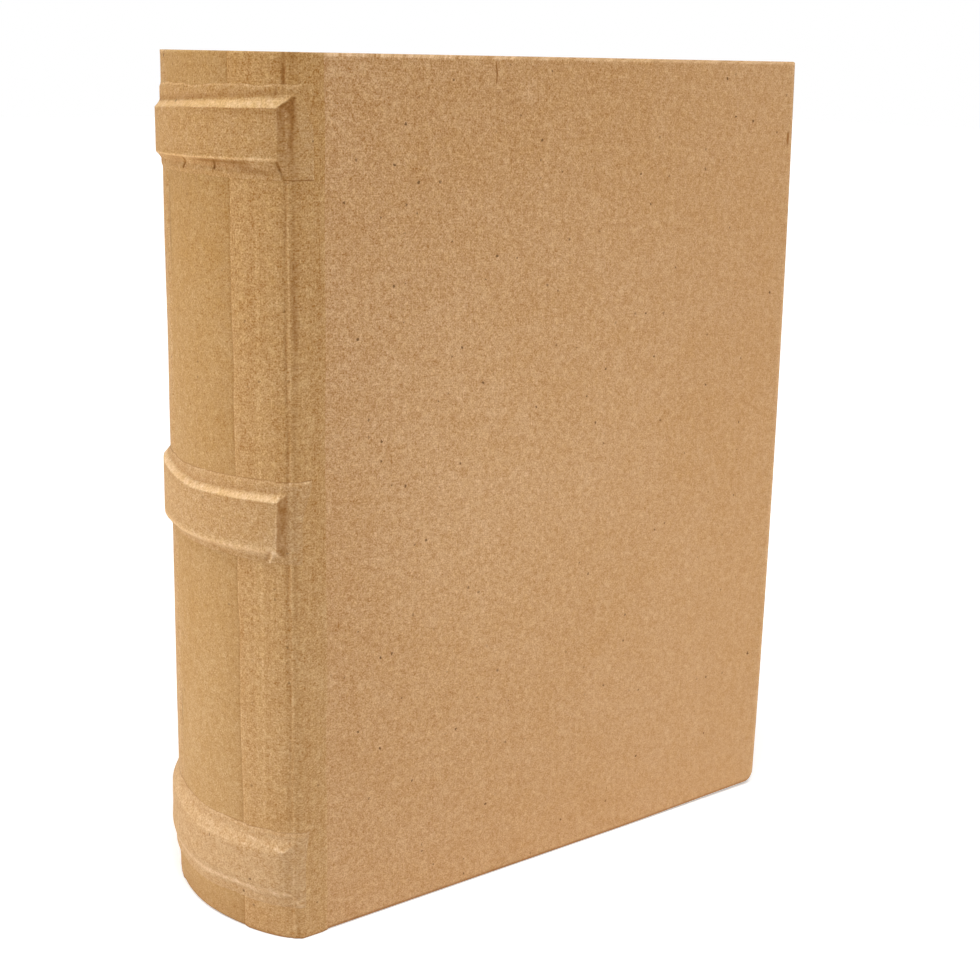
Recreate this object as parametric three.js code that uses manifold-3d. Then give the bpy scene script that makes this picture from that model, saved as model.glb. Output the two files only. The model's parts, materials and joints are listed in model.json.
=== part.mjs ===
// A book box: a paper-covered board box in the shape of an upright book. The tray is glued to the
// back cover and to the rounded spine, and the front cover opens on a paper hinge at the spine.
// It stands on its tail with its front cover facing -Y and its spine towards -X. The model is drawn
// from the fold between spine and covers and then moved, so that the origin is under its middle.
import * as THREE from "three";
import { mergeVertices } from "three/addons/utils/BufferGeometryUtils.js";
import Module from "manifold-3d";

// Driving dimensions, in millimetres
const bookHeight = 270; // tail to head
const coverWidth = 206; // spine fold to fore-edge
const bookThickness = 74; // outer face of the front cover to outer face of the back cover
const spineBulge = 12.8; // from the folds out to the crown of the spine
const coverBoard = 2.2; // thickness of the cover boards
const spineBoard = 2; // thickness of the curved spine board
const paper = 0.4; // thickness of the kraft paper
const square = 3; // how far the covers stand out past the tray
const trayWall = 2; // thickness of the tray's walls
const trayBase = 2; // thickness of the tray's base
const turnIn = 12; // cover paper folded over onto the inside of the board
const liningMargin = 4; // cover paper left showing round the lining
const coverHingeGap = 0.9; // from the fold to the edge of a cover board
const spineHingeGap = 1.9; // from the fold to the edge of the spine board, along the spine
const stripOnSpine = 22.3; // hinge strip on the spine, measured along its curve
const stripOnCover = 9.8; // hinge strip on the cover
const stripStep = 1.6; // length in which paper laid over a strip's edge comes down
const bandHeight = 13.4; // face of a raised band, tail to head
const bandThickness = 2; // board of a raised band
const headBandInset = 22.2; // head to the centre of the band next to it
const tailBandInset = 22.7; // tail to the centre of the band next to it
const middleBandDrop = 0.4; // from the middle of the height down to the centre of the middle band
const bandSetback = 6.4; // fold to the end of a band, along the spine
const bandSlope = 2.8; // length in which the band's paper comes down beside the band
const bandFlange = 3.2; // band paper lying flat on the spine beyond its slope
const bandTab = 3; // band paper turned onto the covers
const fitGap = 0.3; // between pieces that are cut to fit or that turn past each other

// Shape of the spine's plan curve, as shares of the bulge and of half the thickness
const foldHandleOut = 0.47;
const foldHandleIn = 0.114;
const crownHandle = 0.432;
const stationStep = 6; // longest facet of the spine

// Depths from the middle plane, and places of the tray
const boardFace = bookThickness / 2 - paper;
const coverInside = boardFace - coverBoard;
const trayBack = coverInside - paper;
const trayFloor = trayBack - trayBase;
const floorPaperFace = trayFloor - paper;
const trayFront = coverInside - 2 * paper - fitGap;
const wallFront = trayFront - paper;
const trayFore = coverWidth - square - paper;
const trayTail = square + paper;
const trayHead = bookHeight - square - paper;
const traySpine = coverHingeGap;
const cavity = {
  spine: traySpine + trayWall,
  fore: trayFore - trayWall,
  tail: trayTail + trayWall,
  head: trayHead - trayWall,
};
const cutPast = 1; // how far a cutting solid runs past what it cuts

// Levels over the faces of the boards: papers lie on them one over another
const paperLevel = paper;
const stripLevel = 2 * paper;
const tabLevel = 3 * paper;
const bandLevel = stripLevel + bandThickness;
const bandPaperLevel = bandLevel + paper;

const finishes = {
  kraftCover: { color: 0xc79a68, roughness: 0.92, metalness: 0 },
  kraftStrip: { color: 0xbe9563, roughness: 0.92, metalness: 0 },
  kraftSpine: { color: 0xc39a60, roughness: 0.85, metalness: 0 },
  kraftBand: { color: 0xc49962, roughness: 0.9, metalness: 0 },
  kraftTray: { color: 0xc09462, roughness: 0.92, metalness: 0 },
  greyboard: { color: 0x9a8f80, roughness: 0.95, metalness: 0 },
};

const wasm = await Module();
wasm.setup();

// Half of the spine in plan, from the front fold to the crown
const halfSpine = new THREE.CubicBezierCurve(
  new THREE.Vector2(0, -boardFace),
  new THREE.Vector2(-foldHandleOut * spineBulge, (foldHandleIn - 1) * boardFace),
  new THREE.Vector2(-spineBulge, -crownHandle * boardFace),
  new THREE.Vector2(-spineBulge, 0),
);
const halfArc = halfSpine.getLength();
const fullArc = 2 * halfArc;

// Point of the spine board's outer face at a distance along it from the front fold
function spinePoint(along) {
  if (along <= halfArc) return halfSpine.getPointAt(along / halfArc);
  const mirrored = halfSpine.getPointAt((fullArc - along) / halfArc);
  return new THREE.Vector2(mirrored.x, -mirrored.y);
}

// Distances along half of the spine at which one of its pieces begins, ends or bends
function halfStations() {
  const marks = [
    0,
    spineHingeGap,
    bandSetback - bandSlope,
    bandSetback,
    stripOnSpine,
    stripOnSpine + stripStep,
    halfArc,
  ].sort((a, b) => a - b);
  const found = [0];
  for (let i = 1; i < marks.length; i += 1) {
    const length = marks[i] - marks[i - 1];
    const count = Math.ceil(length / stationStep);
    for (let k = 1; k <= count; k += 1) {
      found.push(k === count ? marks[i] : marks[i - 1] + (length * k) / count);
    }
  }
  return found;
}

const firstHalf = halfStations();
const secondHalf = firstHalf.slice(0, -1).reverse().map((along) => fullArc - along);
const stations = [...firstHalf, ...secondHalf];

// The outer face in plan: the front cover's tab edge, the spine's stations, the back cover's tab edge
const planLine = [
  new THREE.Vector2(bandTab, -boardFace),
  ...stations.map(spinePoint),
  new THREE.Vector2(bandTab, boardFace),
];

// Outward step at each point of the plan line that moves both of its sides out by one unit
const planSteps = planLine.map((point, i) => {
  const before = planLine[Math.max(i - 1, 0)];
  const after = planLine[Math.min(i + 1, planLine.length - 1)];
  const sides = [point.clone().sub(before), after.clone().sub(point)]
    .filter((side) => side.length() > 0)
    .map((side) => new THREE.Vector2(-side.y, side.x).normalize());
  const middle = sides.reduce((sum, side) => sum.add(side), new THREE.Vector2()).normalize();
  return middle.divideScalar(middle.dot(sides[0]));
});

// Point of the plan line moved out to a level above the boards
function planPoint(index, level) {
  return planLine[index].clone().addScaledVector(planSteps[index], level);
}

// Places on the plan line: an index in it, and how far along the spine that is
const spinePlaces = stations.map((along, i) => ({ along, index: i + 1 }));
const backTabPlace = { along: fullArc, index: planLine.length - 1 };

function placesBetween(from, to) {
  const tolerance = 1e-6;
  return spinePlaces.filter(({ along }) => along > from - tolerance && along < to + tolerance);
}

// The spine between two distances along it, at a level above its board
function spineLine(level, from, to) {
  return placesBetween(from, to).map(({ index }) => planPoint(index, level));
}

// A triangle mesh from points [x, y, z] and triangles
function meshGeometry(points, triangles) {
  const geometry = new THREE.BufferGeometry();
  geometry.setAttribute("position", new THREE.Float32BufferAttribute(points.flat(), 3));
  geometry.setIndex(triangles.flat());
  return geometry;
}

// A closed outline in plan carried up from one height to another
function prism(outline, low, high) {
  const turned = THREE.ShapeUtils.isClockWise(outline) ? [...outline].reverse() : outline;
  const caps = THREE.ShapeUtils.triangulateShape(turned, []);
  const count = turned.length;
  const points = [low, high].flatMap((z) => turned.map((p) => [p.x, p.y, z]));
  const triangles = [];
  for (const [a, b, c] of caps) {
    triangles.push([a, c, b], [a + count, b + count, c + count]);
  }
  for (let i = 0; i < count; i += 1) {
    const next = (i + 1) % count;
    triangles.push([i, next, next + count], [i, next + count, i + count]);
  }
  return meshGeometry(points, triangles);
}

// An upright sheet that follows two lines in plan, one on each of its faces
function curvedSheet(outerLine, innerLine, low, high) {
  return prism([...outerLine, ...[...innerLine].reverse()], low, high);
}

// A closed section carried from place to place along the spine. sectionAt gives its corners as
// [level, height] for a distance along the spine, anticlockwise with the outside to the right.
function sweep(places, sectionAt) {
  const sections = places.map(({ along }) => sectionAt(along));
  const points = sections.flatMap((section, i) => section.map(([level, height]) => {
    const { x, y } = planPoint(places[i].index, level);
    return [x, y, height];
  }));
  const count = sections[0].length;
  const last = (places.length - 1) * count;
  const capOf = (section) => THREE.ShapeUtils.triangulateShape(
    section.map(([level, height]) => new THREE.Vector2(level, height)),
    [],
  );
  const triangles = [
    ...capOf(sections[0]).map(([a, b, c]) => [a, c, b]),
    ...capOf(sections[sections.length - 1]).map((cap) => cap.map((corner) => corner + last)),
  ];
  for (let start = 0; start < last; start += count) {
    for (let i = 0; i < count; i += 1) {
      const [a, b] = [start + i, start + ((i + 1) % count)];
      triangles.push([a, b, b + count], [a, b + count, a + count]);
    }
  }
  return meshGeometry(points, triangles);
}

// A rectangular block between two places along each axis
function block(x0, x1, y0, y1, z0, z1) {
  const [near, far] = [Math.min(y0, y1), Math.max(y0, y1)];
  const outline = [[x0, near], [x1, near], [x1, far], [x0, far]];
  return prism(outline.map(([x, y]) => new THREE.Vector2(x, y)), z0, z1);
}

function solid(geometry) {
  const bare = geometry.clone();
  bare.deleteAttribute("normal");
  bare.deleteAttribute("uv");
  const merged = mergeVertices(bare);
  return new wasm.Manifold(new wasm.Mesh({
    numProp: 3,
    vertProperties: merged.attributes.position.array,
    triVerts: new Uint32Array(merged.index.array),
  }));
}

function geometryOf(body) {
  const { vertProperties, triVerts } = body.getMesh();
  const geometry = new THREE.BufferGeometry();
  geometry.setAttribute("position", new THREE.BufferAttribute(vertProperties, 3));
  geometry.setIndex(new THREE.BufferAttribute(triVerts, 1));
  return geometry;
}

function joined(...geometries) {
  return geometryOf(geometries.map(solid).reduce((sum, body) => sum.add(body)));
}

function cut(geometry, ...cutters) {
  return geometryOf(cutters.map(solid).reduce((rest, body) => rest.subtract(body), solid(geometry)));
}

function common(first, second) {
  return geometryOf(solid(first).intersect(solid(second)));
}

// A cover board. side is -1 for the front cover and 1 for the back cover.
function coverBoardShape(side) {
  return block(
    coverHingeGap, coverWidth - paper,
    side * boardFace, side * coverInside,
    paper, bookHeight - paper,
  );
}

// The paper of a cover: over the outside, round three edges and in over the inside
function coverPaperShape(side) {
  const wrap = block(
    coverHingeGap, coverWidth,
    side * (boardFace + paper), side * (coverInside - paper),
    0, bookHeight,
  );
  const boardSpace = block(
    coverHingeGap - cutPast, coverWidth - paper,
    side * boardFace, side * coverInside,
    paper, bookHeight - paper,
  );
  const window = block(
    coverHingeGap - cutPast, coverWidth - turnIn,
    side * coverInside, side * (coverInside - paper - cutPast),
    turnIn, bookHeight - turnIn,
  );
  return cut(wrap, boardSpace, window);
}

// The lining of the front cover: on the board inside the turn-ins, and up over their edges
function coverLiningShape() {
  const middle = block(
    coverHingeGap, coverWidth - turnIn,
    -coverInside, paper - coverInside,
    turnIn, bookHeight - turnIn,
  );
  const border = block(
    coverHingeGap, coverWidth - liningMargin,
    paper - coverInside, 2 * paper - coverInside,
    liningMargin, bookHeight - liningMargin,
  );
  const borderWindow = block(
    coverHingeGap - cutPast, coverWidth - turnIn - paper,
    paper - coverInside - cutPast, 2 * paper - coverInside + cutPast,
    turnIn + paper, bookHeight - turnIn - paper,
  );
  return joined(middle, cut(border, borderWindow));
}

// The curved board of the spine
function spineBoardShape() {
  const ends = [spineHingeGap, fullArc - spineHingeGap];
  return curvedSheet(
    spineLine(0, ...ends),
    spineLine(-spineBoard, ...ends),
    paper,
    bookHeight - paper,
  );
}

// The spine's paper: over its outside, round its head and tail, and in as far as the tray
function spinePaperShape() {
  const inside = -spineBoard - paper;
  const section = [
    [paperLevel, 0],
    [paperLevel, bookHeight],
    [inside, bookHeight],
    [inside, bookHeight - square],
    [-spineBoard, bookHeight - square],
    [-spineBoard, bookHeight - paper],
    [0, bookHeight - paper],
    [0, paper],
    [-spineBoard, paper],
    [-spineBoard, square],
    [inside, square],
    [inside, 0],
  ];
  return sweep(placesBetween(spineHingeGap, fullArc - spineHingeGap), () => section);
}

// The part of the front hinge strip that is glued to the spine
function spineLeafShape() {
  return curvedSheet(
    spineLine(stripLevel, 0, stripOnSpine),
    spineLine(paperLevel, 0, stripOnSpine),
    0,
    bookHeight,
  );
}

// The part of the front hinge strip that is glued to the cover
function coverLeafShape() {
  return block(
    fitGap, stripOnCover,
    -boardFace - paperLevel, -boardFace - stripLevel,
    0, bookHeight,
  );
}

// The strip that joins the spine to the back cover
function backStripShape() {
  const ends = [fullArc - stripOnSpine, fullArc];
  const outside = spineLine(stripLevel, ...ends);
  const inside = spineLine(paperLevel, ...ends);
  outside.push(new THREE.Vector2(stripOnCover, boardFace + stripLevel));
  inside.push(new THREE.Vector2(stripOnCover, boardFace + paperLevel));
  return curvedSheet(outside, inside, 0, bookHeight);
}

// A raised band: a curved board over the spine's paper and over the ends of both strips
function bandShape(centre) {
  const outside = spineLine(bandLevel, bandSetback, fullArc - bandSetback);
  const inside = [
    ...spineLine(stripLevel, bandSetback, stripOnSpine),
    ...spineLine(paperLevel, stripOnSpine, fullArc - stripOnSpine),
    ...spineLine(stripLevel, fullArc - stripOnSpine, fullArc - bandSetback),
  ];
  return curvedSheet(outside, inside, centre - bandHeight / 2, centre + bandHeight / 2);
}

// Level of the underside of the band paper where it lies flat beside the band
function flangeLevel(along) {
  const fromEnd = Math.min(along, fullArc - along);
  const down = THREE.MathUtils.clamp((fromEnd - stripOnSpine) / stripStep, 0, 1);
  return THREE.MathUtils.lerp(stripLevel, paperLevel, down);
}

// Level of the underside of the band paper over the band and down its ends
function faceLevel(along) {
  const fromEnd = Math.min(along, fullArc - along);
  const up = THREE.MathUtils.clamp((fromEnd - bandSetback + bandSlope) / bandSlope, 0, 1);
  return THREE.MathUtils.lerp(flangeLevel(along), bandLevel, up);
}

// The paper over a band: one sheet from the front fold round the spine and onto the back cover,
// tented over the band's edges and ends
function bandPaperShape(centre) {
  const faceEdge = bandHeight / 2;
  const slopeEdge = faceEdge + bandSlope;
  const paperEdge = slopeEdge + bandFlange;
  const rows = [
    { height: centre - paperEdge, level: flangeLevel },
    { height: centre - slopeEdge, level: flangeLevel },
    { height: centre - faceEdge, level: faceLevel },
    { height: centre + faceEdge, level: faceLevel },
    { height: centre + slopeEdge, level: flangeLevel },
    { height: centre + paperEdge, level: flangeLevel },
  ];
  const sectionAt = (along) => {
    const under = rows.map(({ height, level }) => [level(along), height]);
    const over = under.map(([level, height]) => [level + paper, height]);
    return [...over, ...under.reverse()];
  };
  return sweep([...spinePlaces, backTabPlace], sectionAt);
}

// The end of a band's paper that is turned onto the front cover
function bandTabShape(centre) {
  const paperEdge = bandHeight / 2 + bandSlope + bandFlange;
  return block(
    fitGap, bandTab,
    -boardFace - stripLevel, -boardFace - tabLevel,
    centre - paperEdge, centre + paperEdge,
  );
}

// The room inside the spine board, as far as the fore-edge, that the tray's ends are cut to
function insideSpine() {
  const line = spineLine(-spineBoard - fitGap, spineHingeGap, fullArc - spineHingeGap);
  const outline = [
    new THREE.Vector2(line[0].x, -boardFace),
    ...line,
    new THREE.Vector2(line[line.length - 1].x, boardFace),
    new THREE.Vector2(coverWidth, boardFace),
    new THREE.Vector2(coverWidth, -boardFace),
  ];
  return prism(outline, 0, bookHeight);
}

function trayBaseShape() {
  return block(traySpine, trayFore, trayFloor, trayBack, trayTail, trayHead);
}

// The head or tail wall, whose end is rounded to fill the spine
function endWallShape(low) {
  const plank = block(-spineBulge, trayFore, -wallFront, trayFloor, low, low + trayWall);
  return common(plank, insideSpine());
}

function foreEdgeWallShape() {
  return block(cavity.fore, trayFore, -wallFront, trayFloor, cavity.tail, cavity.head);
}

function spineWallShape() {
  return block(traySpine, cavity.spine, -wallFront, trayFloor, cavity.tail, cavity.head);
}

// The paper round the outside of the tray at head, fore-edge and tail, and over its rim
function trayOuterPaperShape() {
  const room = insideSpine();
  const [tail, head, fore] = [square, bookHeight - square, trayFore + paper];
  const ends = [tail, head - paper].map((low) => (
    common(block(-spineBulge, fore, -trayFront, trayBack, low, low + paper), room)
  ));
  const foreEdge = block(trayFore, fore, -trayFront, trayBack, tail, head);
  const rim = block(traySpine, fore, -trayFront, -wallFront, tail, head);
  const mouth = block(
    cavity.spine, cavity.fore,
    -trayFront - cutPast, -wallFront + cutPast,
    cavity.tail, cavity.head,
  );
  return joined(...ends, foreEdge, cut(rim, mouth));
}

// The paper on the inside of the tray's four walls
function trayInnerPaperShape() {
  const filled = block(
    cavity.spine, cavity.fore,
    -wallFront, trayFloor,
    cavity.tail, cavity.head,
  );
  const hollow = block(
    cavity.spine + paper, cavity.fore - paper,
    -wallFront - cutPast, trayFloor + cutPast,
    cavity.tail + paper, cavity.head - paper,
  );
  return cut(filled, hollow);
}

// The paper on the tray's floor, cut to lie clear of the paper on the walls
function trayFloorPaperShape() {
  const clear = paper + fitGap;
  return block(
    cavity.spine + clear, cavity.fore - clear,
    floorPaperFace, trayFloor,
    cavity.tail + clear, cavity.head - clear,
  );
}

function piece(name, finish, geometry) {
  const faceted = geometry.toNonIndexed();
  faceted.computeVertexNormals();
  const mesh = new THREE.Mesh(faceted, new THREE.MeshStandardMaterial(finishes[finish]));
  mesh.name = name;
  return mesh;
}

const bandCentres = {
  tail: tailBandInset,
  middle: bookHeight / 2 - middleBandDrop,
  head: bookHeight - headBandInset,
};

// The case stands still: back cover, spine with its bands, and tray
const bookCase = new THREE.Group();
bookCase.add(
  piece("back_cover_board", "greyboard", coverBoardShape(1)),
  piece("back_cover_paper", "kraftCover", coverPaperShape(1)),
  piece("back_hinge_strip", "kraftStrip", backStripShape()),
  piece("spine_board", "greyboard", spineBoardShape()),
  piece("spine_paper", "kraftSpine", spinePaperShape()),
  piece("front_hinge_strip_on_spine", "kraftStrip", spineLeafShape()),
  piece("tray_base", "greyboard", trayBaseShape()),
  piece("tray_tail_wall", "greyboard", endWallShape(trayTail)),
  piece("tray_head_wall", "greyboard", endWallShape(cavity.head)),
  piece("tray_fore_edge_wall", "greyboard", foreEdgeWallShape()),
  piece("tray_spine_wall", "greyboard", spineWallShape()),
  piece("tray_outer_paper", "kraftTray", trayOuterPaperShape()),
  piece("tray_inner_paper", "kraftTray", trayInnerPaperShape()),
  piece("tray_floor_paper", "kraftTray", trayFloorPaperShape()),
);

// The front cover turns about the outer edge of the fold
const frontCover = new THREE.Group();
frontCover.add(
  piece("front_cover_board", "greyboard", coverBoardShape(-1)),
  piece("front_cover_paper", "kraftCover", coverPaperShape(-1)),
  piece("front_cover_lining", "kraftTray", coverLiningShape()),
  piece("front_hinge_strip_on_cover", "kraftStrip", coverLeafShape()),
);

for (const [place, centre] of Object.entries(bandCentres)) {
  bookCase.add(
    piece(`raised_band_${place}`, "greyboard", bandShape(centre)),
    piece(`band_paper_${place}`, "kraftBand", bandPaperShape(centre)),
  );
  frontCover.add(piece(`band_tab_${place}`, "kraftBand", bandTabShape(centre)));
}

const bookBox = new THREE.Group();
bookBox.add(bookCase, frontCover);
bookBox.position.x = (spineBulge + bandPaperLevel - coverWidth) / 2;

export default bookBox;
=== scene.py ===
import functools
import json
import math
import bpy
import numpy as np
from mathutils import Matrix, Vector


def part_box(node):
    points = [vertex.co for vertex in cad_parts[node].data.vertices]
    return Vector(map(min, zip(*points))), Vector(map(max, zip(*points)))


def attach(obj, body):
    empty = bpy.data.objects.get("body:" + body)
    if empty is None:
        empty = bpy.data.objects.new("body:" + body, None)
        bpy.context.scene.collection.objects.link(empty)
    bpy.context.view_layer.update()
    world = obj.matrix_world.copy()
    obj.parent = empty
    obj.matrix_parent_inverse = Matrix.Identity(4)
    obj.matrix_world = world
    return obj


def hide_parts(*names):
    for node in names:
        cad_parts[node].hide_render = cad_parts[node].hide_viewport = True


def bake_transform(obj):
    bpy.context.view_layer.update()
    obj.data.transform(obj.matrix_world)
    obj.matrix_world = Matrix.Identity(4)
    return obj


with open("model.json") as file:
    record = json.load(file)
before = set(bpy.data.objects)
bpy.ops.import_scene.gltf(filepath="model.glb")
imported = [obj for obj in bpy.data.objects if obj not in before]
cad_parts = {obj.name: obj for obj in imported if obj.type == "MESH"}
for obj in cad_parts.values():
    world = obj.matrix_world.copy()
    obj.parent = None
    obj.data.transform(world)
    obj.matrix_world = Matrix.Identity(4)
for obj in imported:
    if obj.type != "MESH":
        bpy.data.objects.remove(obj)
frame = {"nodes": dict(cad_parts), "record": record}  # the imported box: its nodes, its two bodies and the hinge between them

# Lengths are in millimetres here and become metres where a mesh is made.
mm = 0.001
scene = bpy.context.scene
latticeSize = 97  # cells after which the unevenness repeats
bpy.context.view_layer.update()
print("box loaded:", len(frame["nodes"]), "nodes")


def unit(share):
    return np.clip(share, 0, 1)


def ease(share):
    # 3 t^2 - 2 t^3 between 0 and 1, flat outside
    t = unit(share)
    return t * t * (3 - 2 * t)


def unevenness(across, up, cell, seed):
    # seeded random heights from -1 to 1 at the corners of square cells, eased from corner to corner
    lattice = np.random.default_rng(seed).uniform(-1, 1, (latticeSize, latticeSize))
    a, b = across / cell, up / cell
    i, j = np.floor(a).astype(int), np.floor(b).astype(int)
    s, t = ease(a - i), ease(b - j)

    def corner(di, dj):
        return lattice[(i + di) % latticeSize, (j + dj) % latticeSize]

    low = corner(0, 0) * (1 - s) + corner(1, 0) * s
    high = corner(0, 1) * (1 - s) + corner(1, 1) * s
    return low * (1 - t) + high * t


def wander(distance, cell, seed):
    # the same unevenness along a single line
    return unevenness(distance, 0 * distance, cell, seed)


def wanderUp(height, cell, seed):
    # and up a single line
    return unevenness(0 * height, height, cell, seed)


def bell(distance, width):
    # exp(-(d / w)^2): one at the middle, fading out over the width
    return np.exp(-(distance / width) ** 2)


def fromLine(across, up, line):
    # distance from the nearest point of a short straight line
    a0, b0, a1, b1 = line
    length2 = (a1 - a0) ** 2 + (b1 - b0) ** 2
    share = unit(((across - a0) * (a1 - a0) + (up - b0) * (b1 - b0)) / length2)
    return np.hypot(across - a0 - share * (a1 - a0), up - b0 - share * (b1 - b0))


def steps(*spans):
    # one rising row of numbers from spans of (from, to, longest step)
    rows = [np.linspace(a, b, int(math.ceil((b - a) / step)) + 1)[:-1] for a, b, step in spans]
    return np.concatenate(rows + [[spans[-1][1]]])


def grid(rows, columns):
    return np.meshgrid(rows, columns, indexing="ij")


def cellQuads(cells):
    # the four corners round each cell of a grid of point numbers
    return np.stack([cells[:-1, :-1], cells[1:, :-1], cells[1:, 1:], cells[:-1, 1:]], -1).reshape(-1, 4)


def gridQuads(shape):
    # the same for points that are numbered row by row
    return cellQuads(np.arange(np.prod(shape)).reshape(shape))


def leftOf(line):
    # at each point of a line the direction square to it
    way = np.gradient(line, axis=0)
    way /= np.linalg.norm(way, axis=1)[:, None]
    return np.stack([-way[:, 1], way[:, 0]], -1)


def addObject(name, data):
    made = bpy.data.objects.new(name, data)
    scene.collection.objects.link(made)
    return made


# The camera stands where the photograph was taken from: its place, its right, and the way it looks.
camera = {
    "place": (-357.35, -454.16, 270.1),
    "right": (0.78338, -0.62125, 0.01921),
    "ahead": (0.60613, 0.75673, -0.24489),
    "lens": 63.19, "sensor": 36,
    "clip": (0.01, 50),  # nearest and farthest, in metres
}


def makeCamera():
    # it looks straight ahead, with its own right kept, and up is what is square to both
    data = bpy.data.cameras.new("camera")
    data.lens, data.sensor_width = camera["lens"], camera["sensor"]
    data.clip_start, data.clip_end = camera["clip"]
    made = addObject("camera", data)
    right, back = Vector(camera["right"]).normalized(), -Vector(camera["ahead"]).normalized()
    up = back.cross(right).normalized()
    turned = Matrix((up.cross(back), up, back)).transposed().to_4x4()
    made.matrix_world = Matrix.Translation(Vector(camera["place"]) * mm) @ turned
    scene.camera = made


makeCamera()
print("camera placed")


# Soft studio light and a white floor.
studio = {
    "world": (0.98, 0.99, 1.0, 0.16),  # colour and strength of the light from all round
    "high": {"from": (-0.22, -0.3, 0.93), "spread": 45, "strength": 2.5, "colour": (1.0, 0.99, 0.97)},
    "lowRight": {"place": (250, -450, 30), "size": 260, "power": 0.8, "colour": (1.0, 1.0, 1.0)},
    "lowLeft": {"place": (-520, 300, 0), "size": 260, "power": 2.9, "colour": (1.0, 0.99, 0.97)},
    "aim": (0.03, 0, 0.1),  # what the two low lamps face, in metres
    # the floor's half width and depth in metres, its white, and what is added to that for the camera alone
    "floor": {"half": 6, "below": 0.0002, "white": 0.9, "lift": 0.4},
}


def feed(tree, socket, value):
    # an output is linked, and a colour, a vector or a number becomes the socket's own value
    if isinstance(value, bpy.types.NodeSocket):
        tree.links.new(value, socket)
    else:
        socket.default_value = (*value, 1) if socket.type == "RGBA" else value


def addNode(tree, kind, inputs=None, **settings):
    # a shader node with its settings made, and with its inputs fed by name or number
    node = tree.nodes.new("ShaderNode" + kind)
    for key, value in settings.items():
        setattr(node, key, value)
    for key, value in (inputs or {}).items():
        feed(tree, node.inputs[key], value)
    return node


def makeLamp(name, facts):
    # a wide soft sky lamp has a direction, and a round panel near the box has a place
    panel = "place" in facts
    data = bpy.data.lights.new(name, "AREA" if panel else "SUN")
    data.color = facts["colour"]
    made = addObject(name, data)
    if panel:
        data.shape, data.size, data.energy = "DISK", facts["size"] * mm, facts["power"]
        made.location = Vector(facts["place"]) * mm
        toward = made.location - Vector(studio["aim"])
    else:
        data.angle, data.energy = math.radians(facts["spread"]), facts["strength"]
        toward = Vector(facts["from"])
        made.location = toward * 2
    made.rotation_euler = toward.to_track_quat("Z", "Y").to_euler()


def makeStudio():
    # the camera and glossy rays see a white world, and everything else the weak light from all round
    world = bpy.data.worlds.new("studio")
    scene.world = world
    world.use_nodes = True
    tree = world.node_tree
    tree.nodes.clear()
    *colour, strength = studio["world"]
    lit = addNode(tree, "Background", {"Color": colour, "Strength": strength})
    seen = addNode(tree, "Background", {"Color": (1, 1, 1), "Strength": 1.0})
    ray = addNode(tree, "LightPath").outputs
    direct = {0: ray["Is Camera Ray"], 1: ray["Is Glossy Ray"]}
    either = addNode(tree, "Math", direct, operation="MAXIMUM")
    mixed = {0: either.outputs[0], 1: lit.outputs[0], 2: seen.outputs[0]}
    mix = addNode(tree, "MixShader", mixed)
    addNode(tree, "OutputWorld", {"Surface": mix.outputs[0]})
    for side in ("high", "lowRight", "lowLeft"):
        makeLamp(side + "Lamp", studio[side])


def makeFloor():
    # a flat square, whose white the camera sees a little brighter than it is lit
    facts = studio["floor"]
    edge = np.linspace(-facts["half"], facts["half"], 5)
    x, y = grid(edge, edge)
    mesh = bpy.data.meshes.new("floor")
    points = np.stack([x, y, np.full_like(x, -facts["below"])], -1).reshape(-1, 3)
    mesh.from_pydata(points.tolist(), [], gridQuads(x.shape).tolist())
    made = addObject("floor", mesh)
    material = bpy.data.materials.new("whiteFloor")
    material.use_nodes = True
    tree = material.node_tree
    tree.nodes.clear()
    matte = addNode(tree, "BsdfDiffuse", {"Color": [facts["white"]] * 3})
    ray = addNode(tree, "LightPath").outputs
    extra = {0: ray["Is Camera Ray"], 1: facts["lift"]}
    amount = addNode(tree, "Math", extra, operation="MULTIPLY")
    lift = addNode(tree, "Emission", {"Strength": amount.outputs[0]})
    both = addNode(tree, "AddShader", {0: matte.outputs[0], 1: lift.outputs[0]})
    addNode(tree, "OutputMaterial", {"Surface": both.outputs[0]})
    mesh.materials.append(material)


scene.view_settings.view_transform = "Standard"
makeStudio()
makeFloor()
print("studio lit")


# Kraft paper and greyboard.
# Each finish has its colour, the strength of its blotches, grain, streaks and specks, and how much paler
# it is towards the tail.
finishes = {
    "cover_kraft": {
        "colour": (0.564, 0.323, 0.147), "blotch": 0.4, "coarse": 0.85, "grain": 0.86,
        "streak": 0.1, "paler": 0.5, "specks": 1.0,
    },
    "strip_kraft": {
        "colour": (0.527, 0.3, 0.12), "blotch": 0.4, "coarse": 0.9, "grain": 0.88,
        "streak": 0.4, "paler": 2.3, "specks": 0.6,
    },
    "spine_kraft": {
        "colour": (0.508, 0.294, 0.115), "blotch": 0.5, "coarse": 1.3, "grain": 0.72,
        "streak": 0.16, "paler": 1.8, "specks": 0.6,
    },
    "band_kraft": {
        "colour": (0.543, 0.32, 0.141), "blotch": 0.6, "coarse": 1.2, "grain": 0.82,
        "streak": 0.12, "paler": 2.2, "specks": 0.9,
    },
    "tray_kraft": {
        "colour": (0.548, 0.312, 0.14), "blotch": 0.4, "coarse": 0.85, "grain": 0.7,
        "streak": 0.08, "paler": 0.0, "specks": 0.6,
    },
    "greyboard": {
        "colour": (0.33, 0.285, 0.235), "blotch": 0.4, "coarse": 0.8, "grain": 0.7,
        "streak": 0.14, "paler": 0.0, "specks": 0.9,
    },
}

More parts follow.
